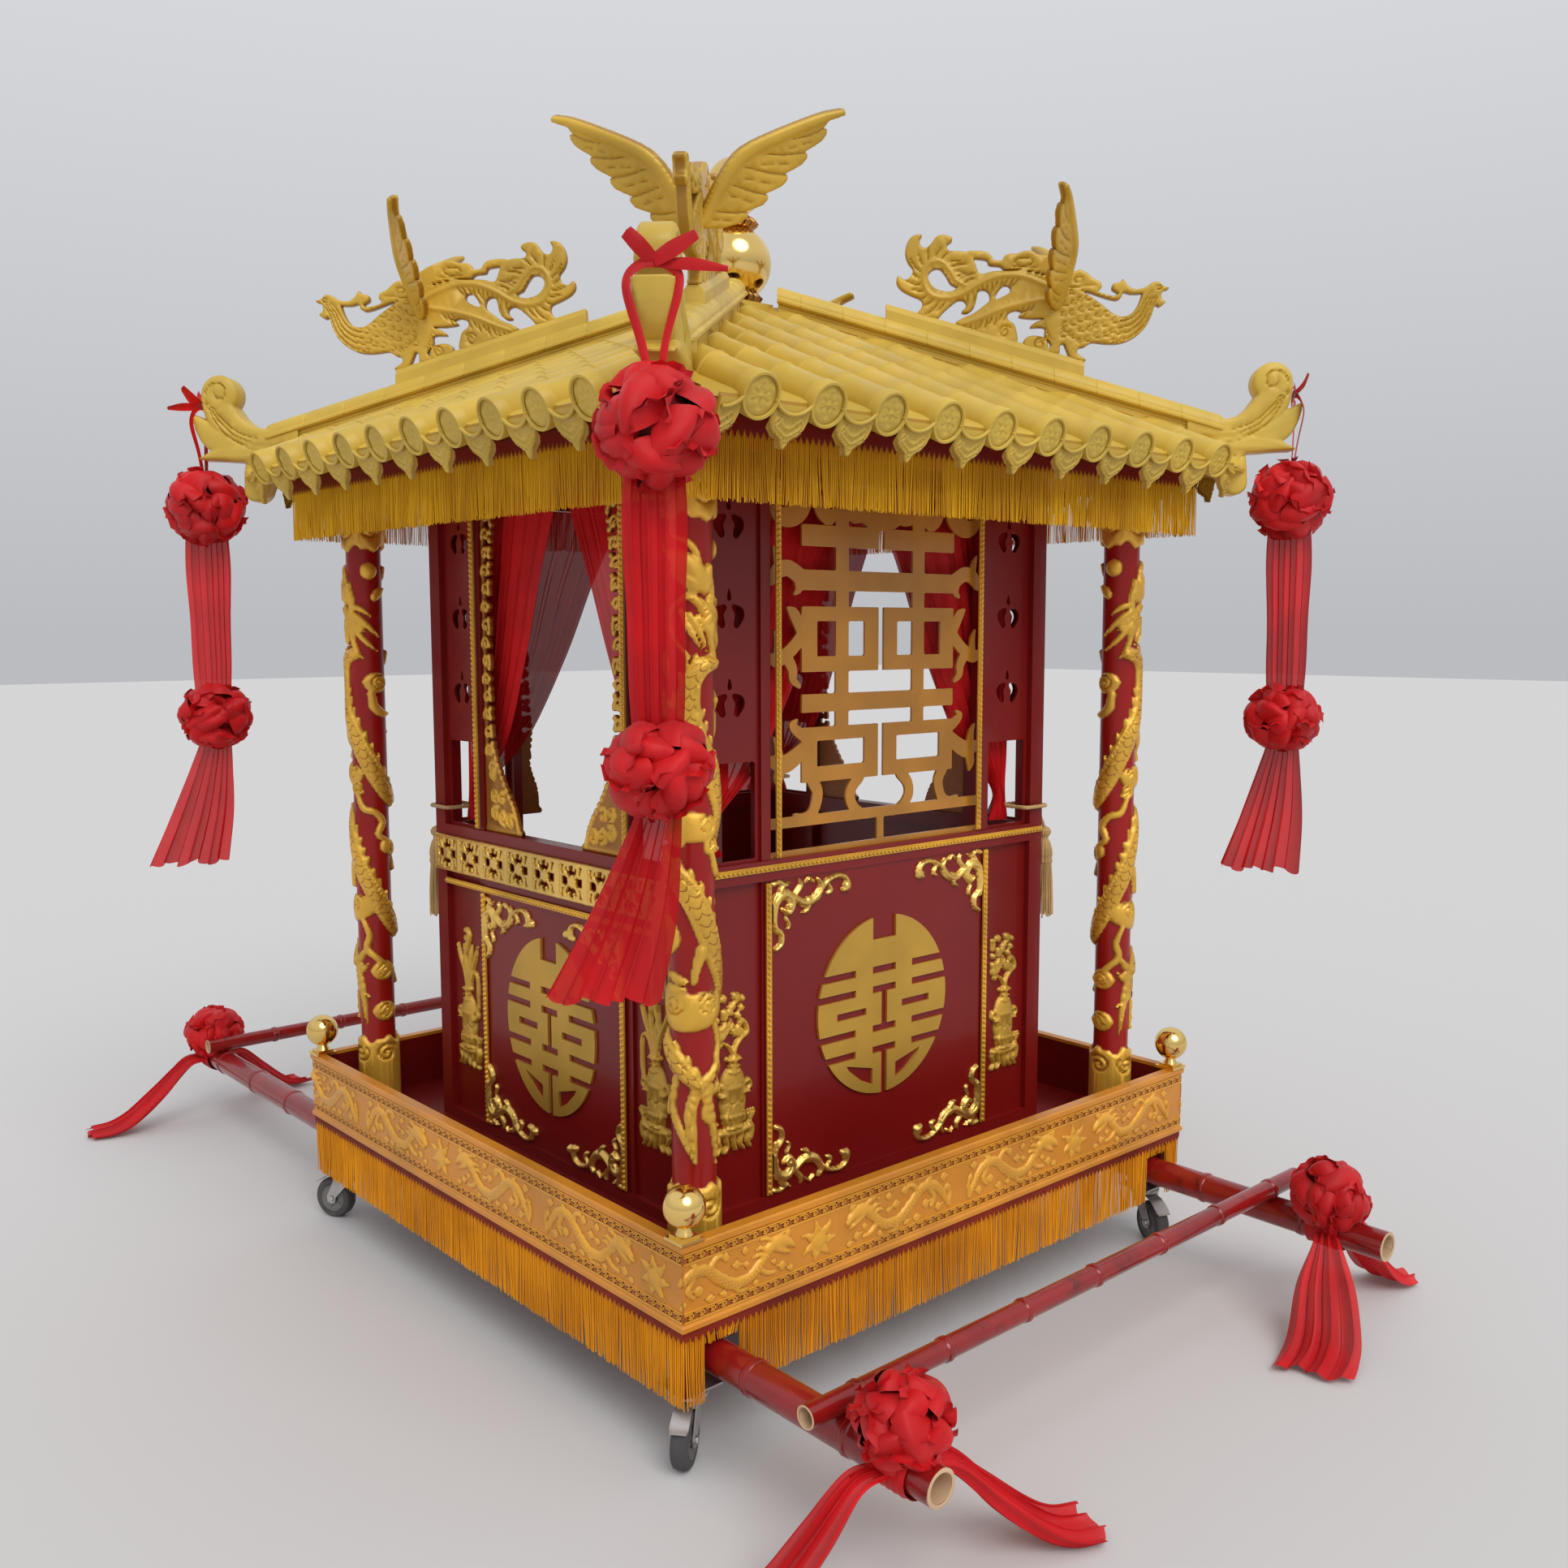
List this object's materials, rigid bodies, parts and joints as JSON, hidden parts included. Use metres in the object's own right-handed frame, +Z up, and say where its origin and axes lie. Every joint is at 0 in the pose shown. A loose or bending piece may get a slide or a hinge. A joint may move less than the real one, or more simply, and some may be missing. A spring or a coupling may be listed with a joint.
{
  "type": "wheeled wedding palanquin",
  "caption": "Red and gold wedding palanquin with a tiled pyramid roof, carved cabin, round corner columns, long fringes, swivel casters and bamboo carrying poles.",
  "frame": {"origin": "middle of the whole footprint on the floor, carrying poles included", "axes": "+Z up, Y along the carrying poles with the doorway facing +Y and the fixed window -Y, X across"},
  "size_m": [2.0784, 3.2486, 2.5164],
  "materials": {
    "frame_steel": "dark red-brown paint",
    "deck_board": "dark red stain, satin",
    "gilt_relief": "moulded relief with worn gold paint",
    "red_lacquer": "deep red lacquer, satin",
    "red_column": "deep red lacquer, glossy",
    "gold_metal": "polished",
    "roof_gold": "yellow gold paint, satin",
    "amber_screen": "flat amber gold sheet",
    "gold_fringe": "long silk fringe",
    "red_cloth": "plain satin weave",
    "red_voile": "thin, see-through",
    "rope_gold": "twisted cord and tassels",
    "bamboo": "dark red paint over bamboo, glossy, chipped to the cane",
    "caster_steel": "zinc plated",
    "black_rubber": "moulded"
  },
  "bodies": {
    "chair": {"apron_front": "gilt_relief", "apron_left": "gilt_relief", "apron_rear": "gilt_relief", "apron_right": "gilt_relief", "base_frame": "frame_steel", "base_fringe": "gold_fringe", "bench": "deck_board", "cabin_frame": "red_lacquer", "carrying_poles": "bamboo", "caster_plates": "caster_steel", "ceiling": "red_cloth", "column_collars": "gilt_relief", "column_dragons": "gilt_relief", "columns": "red_column", "corner_finials": "gold_metal", "cross_poles": "bamboo", "curtains": "red_voile", "deck": "deck_board", "eave_fringe": "gold_fringe", "eave_tile_ends": "roof_gold", "finial_balls": "gold_metal", "hanging_bow_left_front": "red_cloth", "hanging_bow_left_rear": "red_cloth", "hanging_bow_right_front": "red_cloth", "hanging_bow_right_rear": "red_cloth", "hip_ridges": "roof_gold", "kerb_lining": "red_lacquer", "lower_panels": "red_lacquer", "phoenixes": "roof_gold", "pierced_bands": "gilt_relief", "pole_bows": "red_cloth", "pole_hoops": "frame_steel", "rear_window_screen": "amber_screen", "roof_beams": "red_lacquer", "roof_cap": "roof_gold", "seat_cushion": "red_cloth", "side_screens": "red_lacquer", "tassels": "rope_gold", "tie_ropes": "rope_gold", "tile_slope_front": "roof_gold", "tile_slope_left": "roof_gold", "tile_slope_rear": "roof_gold", "tile_slope_right": "roof_gold", "wall_medallions": "gilt_relief", "window_fretwork": "gilt_relief"},
    "fork_left_rear": {"caster_fork_left_rear": "caster_steel"},
    "wheel_left_rear": {"caster_wheel_left_rear": "black_rubber"},
    "fork_left_front": {"caster_fork_left_front": "caster_steel"},
    "wheel_left_front": {"caster_wheel_left_front": "black_rubber"},
    "fork_right_front": {"caster_fork_right_front": "caster_steel"},
    "wheel_right_front": {"caster_wheel_right_front": "black_rubber"},
    "fork_right_rear": {"caster_fork_right_rear": "caster_steel"},
    "wheel_right_rear": {"caster_wheel_right_rear": "black_rubber"}
  },
  "joints": [
    {"name": "swivel_left_rear", "type": "hinge", "parent": "chair", "child": "fork_left_rear", "pos_m": [-0.69, -0.93939, 0.12], "axis": [0, 0, 1], "continuous": true},
    {"name": "roll_left_rear", "type": "hinge", "parent": "fork_left_rear", "child": "wheel_left_rear", "pos_m": [-0.71994, -0.96278, 0.05], "axis": [0.6157, -0.788, 0], "continuous": true},
    {"name": "swivel_left_front", "type": "hinge", "parent": "chair", "child": "fork_left_front", "pos_m": [-0.69, 0.44061, 0.12], "axis": [0, 0, 1], "continuous": true},
    {"name": "roll_left_front", "type": "hinge", "parent": "fork_left_front", "child": "wheel_left_front", "pos_m": [-0.70784, 0.47416, 0.05], "axis": [-0.8829, -0.4695, 0], "continuous": true},
    {"name": "swivel_right_front", "type": "hinge", "parent": "chair", "child": "fork_right_front", "pos_m": [0.69, 0.44061, 0.12], "axis": [0, 0, 1], "continuous": true},
    {"name": "roll_right_front", "type": "hinge", "parent": "fork_right_front", "child": "wheel_right_front", "pos_m": [0.709, 0.47352, 0.05], "axis": [-0.866, 0.5, 0], "continuous": true},
    {"name": "swivel_right_rear", "type": "hinge", "parent": "chair", "child": "fork_right_rear", "pos_m": [0.69, -0.93939, 0.12], "axis": [0, 0, 1], "continuous": true},
    {"name": "roll_right_rear", "type": "hinge", "parent": "fork_right_rear", "child": "wheel_right_rear", "pos_m": [0.67515, -0.97437, 0.05], "axis": [0.9205, -0.3907, 0], "continuous": true}
  ]
}
